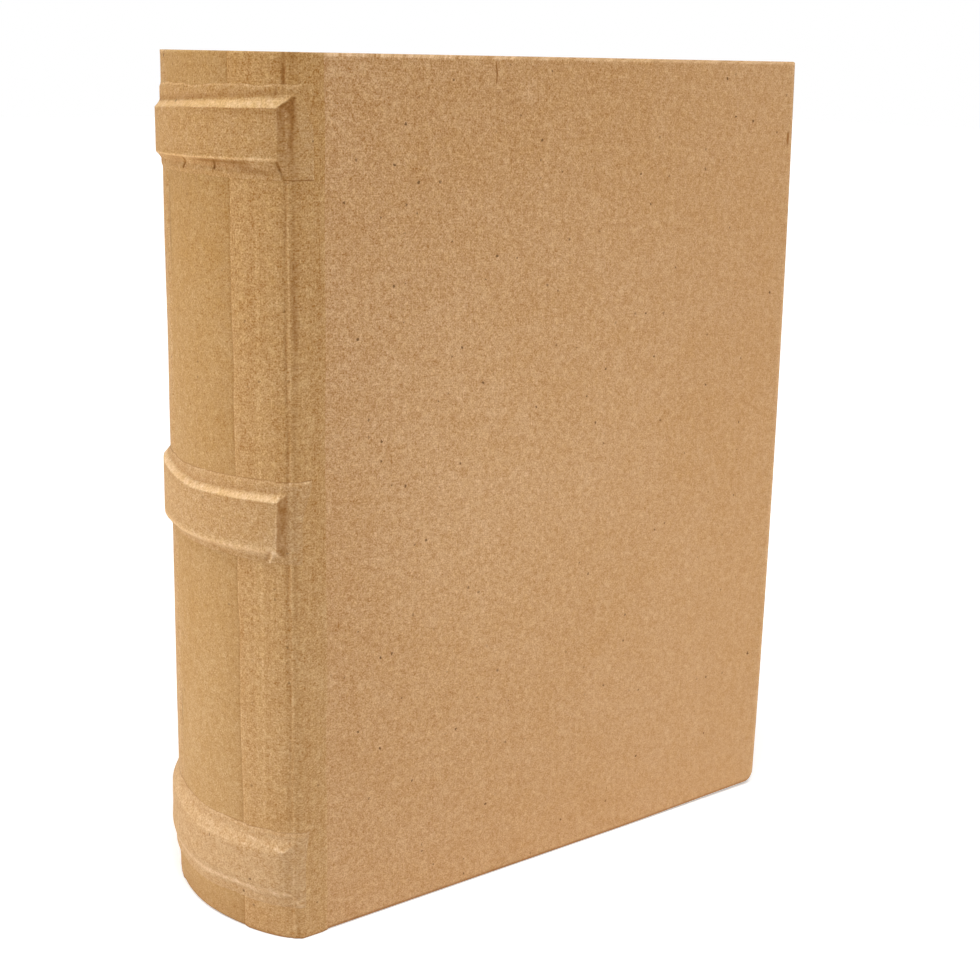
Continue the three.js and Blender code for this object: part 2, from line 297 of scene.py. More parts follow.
# What the finishes share. Tones multiply the colour.
tones = {
    "dark": (0.69, 0.53, 0.3), "light": (1.31, 1.49, 1.74),  # the ends of the grain
    "ochre": (0.925, 0.865, 0.7), "pink": (1.075, 1.135, 1.3),  # the ends of the patches
    # the third and fourth tones darken with painted shade and shadow and the paper's dark marks, and pale
    # with wear and painted highlights
    "speck": (0.36, 0.3, 0.24), "shadeAndMarks": (0.58, 0.43, 0.25), "wearAndHighlight": (1.5, 1.72, 2.12),
}
# A paper's noises: turn in the sheet in degrees, cells to the metre, detail, and one's own roughness.
noises = {
    "fine": (0, 2000, 1.0), "mealy": (25, 1150, 2.0, 0.7), "coarse": (20, 430, 2.0), "cloud": (0, 95, 3.0),
    "wide": (0, 17, 1.0), "patches": (0, 120, 1.0), "flecks": (50, 560, 1.0),
}
fibreTurns = (4, 49, -41, 88)
# how much they count in the grain and the tint, and the grain, the clouds and the specks in the relief
gains = {"fine": 2.0, "mealy": 0.8, "fibres": 0.8, "coarse": 0.08, "flecks": 0.35, "patches": 0.3}
relief = {"grain": 0.8, "cloud": 0.8, "speck": -0.5}
# lattice cells and ragged cells to the metre, how far the dots are shaken, their radius and edge in cells,
# and how a dot is chosen
dotFacts = {
    "cells": 230, "ragged": 1300, "shake": 0.0012, "radius": 0.125, "crisp": 20, "least": 0.64, "gain": 5,
}
# The finest grain fades by this much to the metre across and down the sheet, from start to most, and where
# the paper is pale from wear and from painted highlights. Below the middle, in metres from the tail, the
# paper is paler.
fading = {"across": 2.6, "up": 1.5, "start": 0.4, "most": 0.72, "middle": 0.135, "paled": 0.45}
# where the grain's middle lies between dark and light, and the surface's finish
coat = {
    "middle": 0.49, "rough": 0.86, "roughSpread": 0.16, "shine": 0.22, "bump": 0.32, "bumpHeight": 0.00022,
}


def makePaper(name, facts, onSheet):
    # The pattern is read across the flat sheet on new pieces, and from the object's own place on packed ones.
    material = bpy.data.materials.new(name)
    material.use_nodes = True
    tree = material.node_tree

    def combined(operation, a, b, clamp=False):
        return addNode(tree, "Math", {0: a, 1: b}, operation=operation, use_clamp=clamp).outputs[0]

    plus, minus, times = (functools.partial(combined, kind) for kind in ("ADD", "SUBTRACT", "MULTIPLY"))

    def mix(amount, a, b, kind="MIX"):
        # from colour a at nought to colour b at one, or to a times b
        inputs = {0: amount, 6: a, 7: b}
        return addNode(tree, "Mix", inputs, data_type="RGBA", blend_type=kind).outputs[2]

    def attribute(name, output="Fac"):
        return addNode(tree, "Attribute", attribute_name=name).outputs[output]

    def noise(turn, cells, detail, roughness=0.6):
        # noise with so many cells to the metre, on all axes or on each, turned in the sheet
        angle = math.radians(turn)
        inputs = {"Vector": source, "Rotation": (0, 0, angle) if onSheet else (0, angle, 0),
                  "Scale": [1 / number for number in np.broadcast_to(cells, 3)]}
        turned = addNode(tree, "Mapping", inputs, vector_type="TEXTURE").outputs[0]
        inputs = {"Vector": turned, "Scale": 1, "Detail": detail, "Roughness": roughness}
        return addNode(tree, "TexNoise", inputs, noise_dimensions="3D").outputs["Fac"]

    def centred(value, gain):
        return times(minus(value, 0.5), gain)

    def total(values):
        return functools.reduce(plus, values)

    # fibres and streaks have fewer cells to the metre along their length than across it
    if onSheet:
        source = attribute("sheet", "Vector")
        strand, upStreak = (2100, 420, 60), (700, 11, 60)
    else:
        source = addNode(tree, "TexCoord").outputs["Object"]
        strand, upStreak = (2100, 2100, 420), (700, 700, 11)
    plain = {key: noise(*row) for key, row in noises.items()}
    part = {key: centred(plain[key], gains[key]) for key in plain if key in gains}
    streak = noise(0, upStreak, 2.0)
    fibres = total([centred(noise(turn, strand, 1.0), gains["fibres"]) for turn in fibreTurns])
    finest = total([part["fine"], part["mealy"], fibres])
    if onSheet:
        # the finest grain fades towards the fore-edge and the tail, where the paper is smoother
        across, up = addNode(tree, "SeparateXYZ", {0: source}).outputs[:2]
        away = minus(times(across, fading["across"]), times(up, fading["up"]))
        faded = times(plus(away, fading["start"], clamp=True), fading["most"])
        paled = times(attribute("wearAndHighlight"), fading["paled"], clamp=True)
        finest = times(times(finest, minus(1.0, faded)), minus(1.0, paled))
    grain = total([finest, part["coarse"]])
    shade = total([times(grain, facts["grain"]), centred(streak, facts["streak"])])

    # dark specks: a small ragged dot in some of the cells of a loose lattice, dark in few of them
    inputs = {"Vector": source, "Scale": dotFacts["ragged"]}
    ragged = addNode(tree, "TexNoise", inputs, noise_dimensions="3D").outputs["Color"]
    inputs = {0: ragged, 1: [dotFacts["shake"]] * 3, 2: source}
    shaken = addNode(tree, "VectorMath", inputs, operation="MULTIPLY_ADD").outputs[0]
    inputs = {"Vector": shaken, "Scale": dotFacts["cells"]}
    dots = addNode(tree, "TexVoronoi", inputs, feature="F1").outputs
    inside = times(minus(dotFacts["radius"], dots["Distance"]), dotFacts["crisp"], clamp=True)
    pick = addNode(tree, "SeparateColor", {0: dots["Color"]}).outputs[0]
    chosen = times(minus(pick, dotFacts["least"]), dotFacts["gain"], clamp=True)
    speck = times(times(inside, chosen), facts["specks"])

    colour = np.array(facts["colour"])
    shade = plus(shade, coat["middle"], clamp=True)
    grained = mix(shade, colour * tones["dark"], colour * tones["light"])
    # patches a little pinker and paler, or more ochre, than the rest
    warm = total([centred(plain["coarse"], facts["coarse"]), part["flecks"], part["patches"],
                  centred(plain["cloud"], facts["blotch"]), centred(plain["wide"], facts["blotch"])])
    if onSheet:
        warm = plus(warm, times(minus(fading["middle"], up), facts["paler"]))
    tint = mix(plus(warm, 0.5, clamp=True), tones["ochre"], tones["pink"])
    painted = mix(speck, mix(1.0, grained, tint, "MULTIPLY"), colour * tones["speck"])
    if onSheet:
        # painted shade, dark marks, wear and painted highlights are broken up by the grain
        speckled = plus(times(grain, 0.3), 1.0)
        for key in ("shadeAndMarks", "wearAndHighlight"):
            amount = times(attribute(key), speckled, clamp=True)
            painted = mix(amount, painted, tones[key], "MULTIPLY")
    height = total([times(grain, relief["grain"]), centred(plain["cloud"], relief["cloud"]),
                    times(speck, relief["speck"])])
    inputs = {"Strength": coat["bump"], "Distance": coat["bumpHeight"], "Height": height}
    bump = addNode(tree, "Bump", inputs)
    rough = plus(centred(plain["coarse"], coat["roughSpread"]), coat["rough"], clamp=True)
    surface = {"Base Color": painted, "Roughness": rough, "Specular IOR Level": coat["shine"],
               "Normal": bump.outputs[0]}
    for key, value in surface.items():
        feed(tree, tree.nodes["Principled BSDF"].inputs[key], value)
    return material


sheetPaper = {name: makePaper(name + "_sheet", facts, True) for name, facts in finishes.items()}
packedPaper = {name: makePaper(name + "_packed", facts, False) for name, facts in finishes.items()}
print("papers mixed:", len(finishes))


# the angle from which an edge is sharp, and how far apart the patterns of two sheets, in millimetres, and
# of one sheet's two skins, in metres, are read
sheetFacts = {"sharp": 38, "layerGap": 37.0, "skinGap": 0.011}


def makeSheet(name, finish, outer, inner, across, up, shadeAndMarks=0, wearAndHighlight=0, layer=0, quads=None):
    # The outer and the inner skin of a sheet share one grid. Every side that only one face has is a
    # free edge, and a strip of faces joins the two skins there, so that the sheet is closed.
    quads = gridQuads(across.shape) if quads is None else quads
    outer, inner = outer.reshape(-1, 3), inner.reshape(-1, 3)
    count = len(outer)
    sides = np.concatenate([quads[:, [k, (k + 1) % 4]] for k in range(4)])
    sorts = np.sort(sides, axis=1)
    _, first, times = np.unique(sorts[:, 0] * count + sorts[:, 1], return_index=True, return_counts=True)
    free = sides[first[times == 1]]
    rim = np.stack([free[:, 1], free[:, 0], free[:, 0] + count, free[:, 1] + count], -1)
    faces = np.concatenate([quads, quads[:, ::-1] + count, rim])
    points = np.concatenate([outer, inner]) * mm
    a, b, c, d = (points[faces[:, k]] for k in range(4))
    volume = np.einsum("ij,ij->", a, np.cross(b, c)) + np.einsum("ij,ij->", a, np.cross(c, d))
    if volume < 0:  # the grid ran the other way round
        faces = faces[:, ::-1]
    mesh = bpy.data.meshes.new(name)
    mesh.vertices.add(len(points))
    mesh.vertices.foreach_set("co", points.ravel())
    mesh.loops.add(faces.size)
    mesh.loops.foreach_set("vertex_index", faces.ravel().astype(np.int32))
    mesh.polygons.add(len(faces))
    mesh.polygons.foreach_set("loop_start", np.arange(0, faces.size, 4, dtype=np.int32))
    mesh.update(calc_edges=True)
    mesh.validate()
    # the pattern is read at the place on the flat sheet, and each sheet's lies in a layer of its own
    depth = np.full(count, layer * sheetFacts["layerGap"])
    flat = np.stack([np.ravel(across), np.ravel(up), depth], -1) * mm
    place = mesh.attributes.new("sheet", "FLOAT_VECTOR", "POINT")
    place.data.foreach_set("vector", np.concatenate([flat, flat + (0, 0, sheetFacts["skinGap"])]).ravel())
    # per point: the painted shade and the dark marks, and the wear and the painted highlights
    for key, value in (("shadeAndMarks", shadeAndMarks), ("wearAndHighlight", wearAndHighlight)):
        tone = np.broadcast_to(np.asarray(value, float), np.shape(across)).ravel()
        held = mesh.attributes.new(key, "FLOAT", "POINT")
        held.data.foreach_set("value", np.concatenate([tone, tone]).astype(np.float32))
    mesh.shade_smooth()
    mesh.set_sharp_from_angle(angle=math.radians(sheetFacts["sharp"]))
    mesh.materials.append(sheetPaper[finish])
    made = addObject(name, mesh)
    print("  ", name, len(faces), "faces")
    return made


# The whole box, and its spine in plan.
book = {
    "height": 270, "width": 206, "face": 36.6, "bulge": 12.8, "paper": 0.4,
    "swell": (12, 10, 1.0),  # the spine swells above the tail: height, half width, reach
    "foldOut": 0.47, "foldIn": 0.114, "crown": 0.432, "boardToFold": 0.9, "foldSoft": 0.7,
    "planPoints": 3001, "planStep": 0.05, "planBeyond": 30, "planKept": 20,
    "waves": ((0.1, 31, 5), (0.045, 9, 6)),  # of the paper: size, cell and seed
}
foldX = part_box("front_cover_paper")[0][0] / mm - book["boardToFold"]


def makePlan():
    # Half of the spine is a cubic curve from the fold to the crown, and the other half mirrors it.
    # Distances are measured along it from the front fold. Before it and after it the covers run straight.
    t = np.linspace(0, 1, book["planPoints"])[:, None]
    reach, half = book["bulge"], book["face"]
    handles = np.array([[0, -half], [-book["foldOut"] * reach, (book["foldIn"] - 1) * half],
                        [-reach, -book["crown"] * half], [-reach, 0]])
    front = ((1 - t) ** 3 * handles[0] + 3 * (1 - t) ** 2 * t * handles[1]
             + 3 * (1 - t) * t ** 2 * handles[2] + t ** 3 * handles[3])
    line = np.concatenate([front, front[-2::-1] * (1, -1)])
    along = np.concatenate([[0], np.cumsum(np.hypot(*np.diff(line, axis=0).T))])
    arc, beyond, step = along[-1], book["planBeyond"], book["planStep"]
    line = np.concatenate([[[beyond, -half]], line, [[beyond, half]]])
    along = np.concatenate([[-beyond], along, [arc + beyond]])
    even = np.arange(-book["planKept"], arc + book["planKept"], step)
    path = np.stack([np.interp(even, along, line[:, k]) for k in (0, 1)], -1)
    # the sharp folds are rounded by a running mean over a bell-shaped window
    window = np.hanning(int(2 * book["foldSoft"] / step) + 1)
    window /= window.sum()
    pad = len(window) // 2
    soft = np.stack([np.convolve(path[:, k], window, "same") for k in (0, 1)], -1)[pad:-pad]
    return arc, even[pad:-pad], soft + (foldX, 0), leftOf(soft)


arcLength, planAlong, planPoints, planNormals = makePlan()


def onWrap(along, height, level):
    # the point at that distance along the plan line, moved out by its level over the boards
    x, y = (np.interp(along, planAlong, planPoints[:, k]) for k in (0, 1))
    nx, ny = (np.interp(along, planAlong, planNormals[:, k]) for k in (0, 1))
    length = np.hypot(nx, ny)
    return np.stack([x + nx / length * level, y + ny / length * level, height + 0 * along], -1)


def slowWave(along, height):
    # the paper's slow waviness: what was glued wet dries a little uneven
    return sum(size * unevenness(along + 50, height, cell, seed) for size, cell, seed in book["waves"])


def wave(along, height):
    # the waviness fades out within 2 mm of head and tail, and the spine swells a little above the tail
    free = ease(height / 2) * ease((book["height"] - height) / 2)
    middle, width, out = book["swell"]
    swollen = bell(height - middle, width) * ease((along - 22) / 16) * ease((arcLength + 1 - along) / 4)
    return slowWave(along, height) * free + out * swollen


def flush(toEdge, over):
    # how far a sheet sinks towards a free edge that is pressed into what it lies on: almost its thickness
    return 0.95 * book["paper"] * (1 - ease(toEdge / over))


def headFringe(along, height):
    # how pale the ragged fringe is where paper was cut at the head
    return 0.9 * (0.75 + 0.5 * wander(along + 60, 0.9, 91)) * bell(height - book["height"], 0.42)


def tailShade(height):
    # how dark the paper is where it turns in at the tail: a painted contact shadow where it meets the floor,
    # with a little soiling
    return 0.85 * bell(height, 0.4)


# The strips that hinge the covers.
strip = {
    "onSpine": 22.0, "onCover": 9.4, "level": 0.8, "narrowing": 1.7, "wobble": 0.25,
    # place from the fold, width, depth and darkness of the two creases beside the ridge; the darkness is
    # painted shade
    #  in the creases, with a little dirt, and the ridge's last number is the strength of its painted
    #  highlight
    "creases": ((3.0, 0.5, 0.14, 0.52), (0.8, 0.75, 0.16, 0.56)),
    "ridge": (2.15, 0.28, 0.04, 0.3),  # the same for the pale ridge between them
    "gap": (-1.2, 0.7, 0.1, 0.05),  # and for the shallow one on the cover's side
    "headDark": (0.45, 0.85, 258.5),  # of the outer crease at the head: darkness, width, from where
    "tailDark": 0.2, "seed": 21,
}


def stripEdge(height, seed):
    # where the strip ends on the spine: it narrows from head to tail and wanders a little
    fall = strip["narrowing"] * (1 - height / book["height"])
    return strip["onSpine"] - fall + strip["wobble"] * wanderUp(height, 14, seed)


def hingeCreases(along, height, seed):
    # Valleys where the strip sinks into the gaps between the boards, painted with shade and a little dirt,
    # dark in some stretches and hardly to be seen in others, and a ridge between them that catches the light,
    # painted pale as a highlight.
    sunk, tone = 0, 0
    for number, (place, width, depth, dark) in enumerate((*strip["creases"], strip["gap"])):
        middle = place + 0.22 * wanderUp(height, 23, seed + number)
        stretch = 0.45 + 0.55 * ease(0.45 + 0.9 * wanderUp(height, 19, seed + 3 + number))
        stretch = stretch * (0.8 + 0.45 * wanderUp(height, 2.6, seed + 6 + number))
        sunk = sunk + depth * (0.5 + 0.5 * stretch) * bell(along - middle, width)
        tone = tone + dark * stretch * bell(along - middle, width)
    place, width, out, pale = strip["ridge"]
    ridge = bell(along - place - 0.12 * wanderUp(height, 29, seed + 2), width)
    stretch = 0.7 + 0.6 * wanderUp(height, 5, seed + 12)
    # the creases' painted shade fades on the lower third, and the outer one is darkest at the head
    tone = tone * (0.35 + 0.65 * ease((height - 90) / 80))
    dark, width, start = strip["headDark"]
    tone = tone + dark * bell(along - strip["creases"][0][0], width) * ease((height - start) / 3)
    return sunk - out * ridge, tone, pale * stretch * ridge


def makeStrip(name, back, seed):
    # level with the boards' paper plus its own, sunk in the creases and pressed flush at both long edges
    top = book["height"]
    stations = steps((-strip["onCover"], -7, 0.4), (-7, -2.2, 0.8), (-2.2, 4.2, 0.16), (4.2, 18, 0.9),
                     (18, strip["onSpine"], 0.4))
    heights = steps((0, 3, 0.5), (3, top - 10, 1.2), (top - 10, top - 3, 0.8), (top - 3, top, 0.35))
    along, height = grid(stations, heights)
    pull = (stripEdge(height, seed) - strip["onSpine"]) * unit(along / strip["onSpine"]) ** 3
    onCover = unit(-along / strip["onCover"]) ** 2
    along = along + pull + 0.18 * wanderUp(height, 19, seed + 7) * onCover
    sunk, tone, ridge = hingeCreases(along, height, seed)
    toEdge = np.minimum(stripEdge(height, seed) - along, along + strip["onCover"])
    ripple = 0.03 * unevenness(along * 2.5 + 40, height * 0.5, 2.2, seed + 9)
    level = strip["level"] + wave(along, height) - sunk + ripple
    # painted highlights along its cut edges and along a faint fold 11 to 12 mm onto the spine, besides the
    # pale fringe at the head
    wearAndHighlight = headFringe(along, height) + ridge
    wearAndHighlight = wearAndHighlight + 0.15 * bell(toEdge - 0.3, 0.3) + 0.2 * bell(along - 11.4 - 0.004 * height, 0.35)
    # darker along the tail: a painted contact shadow with a little soiling, and a wider darkening off the
    # fold
    tone = tone + tailShade(height) + strip["tailDark"] * bell(height, 8) * ease((along - 3) / 9)
    height = height - 0.2 * np.abs(unevenness(along, height, 0.9, seed + 4)) * (height > top - 0.1)
    path = arcLength - along if back else along
    outer = onWrap(path, height, level - flush(toEdge, 2.4))
    inner = onWrap(path, height, level - book["paper"] + 0.01)
    finish = "band_kraft" if back else "strip_kraft"
    return makeSheet(name, finish, outer, inner, path, height, tone, wearAndHighlight, 2 + back)


def makeStrips():
    # one on each side of the spine: the front strip is left on its own, the back one stays with the case
    front = makeStrip("front_hinge_strip", False, strip["seed"])
    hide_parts("front_hinge_strip_on_spine", "front_hinge_strip_on_cover")
    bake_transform(front)
    back = makeStrip("back_hinge_strip_sheet", True, strip["seed"] + 40)
    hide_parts("back_hinge_strip")
    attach(back, "case")


makeStrips()
print("hinge strips laid")


# The spine's own paper, and its board.
spinePaper = {"level": 0.4, "inside": -2.4, "round": 0.45, "turnIn": 3, "gap": 1.9, "tailDark": 0.28}


def makeSpinePaper():
    # one upright section, in over the head and tail edges, carried along the spine
    outerLevel, innerLevel = spinePaper["level"], spinePaper["inside"]
    r, top = spinePaper["round"], book["height"]
    bend = np.linspace(0, math.pi / 2, 5)
    inward = [(innerLevel, spinePaper["turnIn"])]
    foot = [(innerLevel + r - r * math.cos(t), r - r * math.sin(t)) for t in bend]
    lip = [(outerLevel - r + r * math.sin(t), r - r * math.cos(t)) for t in bend]
    half = np.array(inward + foot + lip)
    middle = steps((r, 3, 0.6), (3, top - 3, 1.4), (top - 3, top - r, 0.6))[1:-1]
    face = np.stack([np.full_like(middle, outerLevel), middle], -1)
    profile = np.concatenate([half, face, (half * (1, -1) + (0, top))[::-1]])
    inside = profile + leftOf(profile) * book["paper"]
    gap = spinePaper["gap"]
    stations = steps((gap, 19, 0.9), (19, 23.5, 0.3), (23.5, arcLength - gap, 0.9))
    along, index = grid(stations, np.arange(len(profile)))
    level, height = profile[index, 0], profile[index, 1]
    moved = wave(along, height) * (level > outerLevel - 0.01)
    outer = onWrap(along, height, level + moved)
    inner = onWrap(along, inside[index, 1], inside[index, 0] + moved)
    # darker along the tail: a painted contact shadow with a little soiling, and a wider darkening
    tone = tailShade(height) + spinePaper["tailDark"] * bell(height, 8)
    # a thin painted shadow just past the strip's edge, and a wider, fainter darkening beyond it
    past = along - stripEdge(height, strip["seed"])
    tone = tone + 0.25 * bell(past - 0.2, 0.7) + 0.1 * bell(past, 6)
    # on the flat sheet the turn-ins lie beyond head and tail
    flat = height + (level - outerLevel) * np.where(index > len(profile) / 2, -1, 1)
    made = makeSheet("spine_paper_sheet", "spine_kraft", outer, inner, along, flat, tone,
                     headFringe(along, height), layer=5)
    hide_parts("spine_paper")
    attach(made, "case")


def makeSpineBoard():
    # the curved board under the paper, a hair clear of it on every side
    paper, top = book["paper"] + 0.05, book["height"]
    stations = steps((spinePaper["gap"], arcLength - spinePaper["gap"], 1.5))
    heights = steps((paper, top - 20, 12), (top - 20, top - paper, 2))
    along, height = grid(stations, heights)
    outer = onWrap(along, height, -0.04)
    inner = onWrap(along, height, spinePaper["inside"] + paper)
    made = makeSheet("spine_board_slab", "greyboard", outer, inner, along, height, layer=41)
    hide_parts("spine_board")
    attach(made, "case")


makeSpineBoard()
makeSpinePaper()
print("spine covered")


# The papers over the raised bands. Heights are measured from the tail. Of the numbers given together the
# first holds at the crown, the second at the end beside the front cover and a third at the other end; for
# the end, the tab and the end's painted shade the first holds at the foot and the second at the top. Up and
# down are how hollow the slopes are, soft is how rounded they are, and the tone and shade numbers are
# strengths of painted shade and shadow, the pale and highlight numbers of painted highlight, except topPale,
# the pale cut top edge, partly the torn paper's own and partly a painted highlight. The bevel's painted
# highlight starts at bevelFrom, over so many millimetres, and by cutHip is less at its front end.
bands = {
    "head": {
        "faceTop": (254.2, 254.95, 252.7), "faceFoot": (240.1, 240.6, 239.6),
        "slopeUp": (2.3, 3.9), "slopeDown": (2.2, 4.2),
        "paperTop": (260.5, 261.3), "paperFoot": (235.0, 234.7), "end": (4.5, 4.5), "endSlope": 4.3,
        "tab": (5.5, 1.6), "cutHip": 0.0, "up": 1.5, "down": 1.5, "soft": 0.0, "lift": 2.8, "seed": 61,
        "topShadow": 0.3, "topWide": 0.14, "topPale": 0.7, "aboveShade": 0.36,
        "bevelHighlight": (1.5, 1.12), "bevelFrom": (-9, 1),
        "crestHighlight": 0.42, "underCrestShade": (0.05, 0.42), "footHighlight": 0.75, "footAt": -0.02, "footWide": 0.13,
        "belowFootShade": 0.4, "underShadow": 0.55, "endShade": (0.36, 0.95), "endEdgeHighlight": 0.1,
    },
    "middle": {
        "faceTop": (140.9, 141.7, 144.3), "faceFoot": (125.8, 126.6),
        "slopeUp": (2.0, 2.6), "slopeDown": (2.6, 2.8),
        "paperTop": (146.5, 147.8, 147.2), "paperFoot": (122.2, 122.3), "end": (6.1, 5.3), "endSlope": 2.5,
        "tab": (0.8, 4.2), "cutHip": 0.9, "up": 1.25, "down": 1.5, "soft": 0.15, "lift": 3.05, "seed": 71,
        "topShadow": 1.0, "topWide": 0.3, "topPale": 0.4, "aboveShade": 0.16,
        "bevelHighlight": (0.85, 1.05), "bevelFrom": (-9, 1),
        "crestHighlight": 0.2, "underCrestShade": (0.08, 0.14), "footHighlight": 0.62, "footAt": 0.02, "footWide": 0.5,
        "belowFootShade": 0.22, "underShadow": 0.0, "endShade": (0.8, 0.72), "endEdgeHighlight": 0.55,
    },
    "tail": {
        "faceTop": (28.9, 30.1, 34.3), "faceFoot": (17.6, 16.8),
        "slopeUp": (4.4, 3.4), "slopeDown": (5.4, 3.8),
        "paperTop": (35.4, 36.0, 38.6), "paperFoot": (10.2, 10.4), "end": (4.8, 5.0), "endSlope": 4.4,
        "tab": (1.0, 2.4), "cutHip": 0.0, "up": 1.2, "down": 1.3, "soft": 0.9, "lift": 3.0, "seed": 81,
        "topShadow": 1.0, "topWide": 0.32, "topPale": 0.12, "aboveShade": 0.0,
        "bevelHighlight": (0.12, 0.05), "bevelFrom": (10, 6),
        "crestHighlight": 0.2, "underCrestShade": (0.0, 0.0), "footHighlight": 0.36, "footAt": 0.5, "footWide": 0.22,
        "belowFootShade": 0.1, "underShadow": 0.0, "endShade": (0.12, 0.14), "endEdgeHighlight": 0.12,
    },
}
# Small marks: a line from one point along and up the sheet to another, its width, how far it stands out and
# how dark it is (pale when below nought). Most are painted light and shade: pale lines along folds and edges,
# dark lines in folds and along edges, and the dark smear under the head band; the two slits and the nick in
# the head band are the paper's own.
marks = {
    "head": [
        (4.5, 255.1, 0.4, 258.3, 0.3, 0.16, -1.0), (3.6, 255.0, 0.2, 257.6, 0.3, -0.12, 0.8),
        (0.8, 257.6, 0.7, 252.0, 0.34, -0.1, 0.6), (0.7, 252.0, 1.1, 244.0, 0.4, -0.06, 0.3),
        (5.0, 260.6, 5.2, 258.6, 0.24, -0.1, 0.5), (5.2, 258.6, 5.9, 257.3, 0.24, -0.1, 0.45),
        (4.6, 239.9, 4.1, 237.8, 0.36, -0.25, 1.6), (4.1, 237.8, 3.5, 235.6, 0.26, -0.2, 0.8),
        (41.1, 239.2, 43.7, 236.5, 0.3, -0.35, 2.6), (26.2, 239.5, 27.5, 237.3, 0.3, -0.35, 2.6),
        (21.0, 238.9, 8.0, 236.6, 0.8, -0.1, 0.32), (3.4, 234.95, -5.4, 234.9, 0.2, 0.0, 1.2),
        (-5.35, 235.0, -4.9, 246.0, 0.22, 0.0, -0.2),
    ],
    "middle": [
        (6.9, 126.0, 9.1, 121.8, 0.3, 0.2, -0.9), (8.0, 126.2, 10.2, 123.0, 0.5, -0.12, 0.5),
        (5.0, 146.4, 5.4, 142.6, 0.35, 0.08, -0.5), (2.4, 147.9, -3.9, 147.9, 0.26, 0.0, 0.6),
        (2.4, 147.2, -3.9, 147.2, 0.26, 0.0, -0.35),
    ],
    "tail": [
        (4.9, 15.6, 2.9, 15.3, 0.4, 0.16, -0.4), (3.6, 16.3, 0.4, 13.6, 0.26, -0.12, 0.45),
        (3.0, 15.3, 0.3, 11.2, 0.4, 0.14, -0.4), (7.6, 30.5, 4.6, 29.9, 0.34, 0.22, -0.6),
        (4.6, 29.9, 2.6, 31.4, 0.32, 0.16, -0.4), (17.0, 32.0, 7.6, 30.6, 0.34, 0.08, -0.35),
        (39.0, 14.2, 22.0, 15.5, 0.9, 0.06, -0.25), (22.0, 15.5, 4.9, 15.7, 0.8, 0.08, -0.35),
    ],
}


def alongPair(values, along):
    # straight from the value at the front end to that at the crown, and on to that at the back end, which is
    # the crown's again where only two are given
    crown, front, back = (*values, values[0])[:3]
    return np.interp(along, (0, arcLength / 2, arcLength), (front, crown, back))


def between(pair, share):
    return pair[0] + (pair[1] - pair[0]) * share


def bandLines(facts, along):
    # the heights between which the band's face lies, waving a little as glued board does
    wobble = 0.1 * wander(along, 8, facts["seed"] + 2)
    return alongPair(facts["faceTop"], along) + wobble, alongPair(facts["faceFoot"], along) + wobble


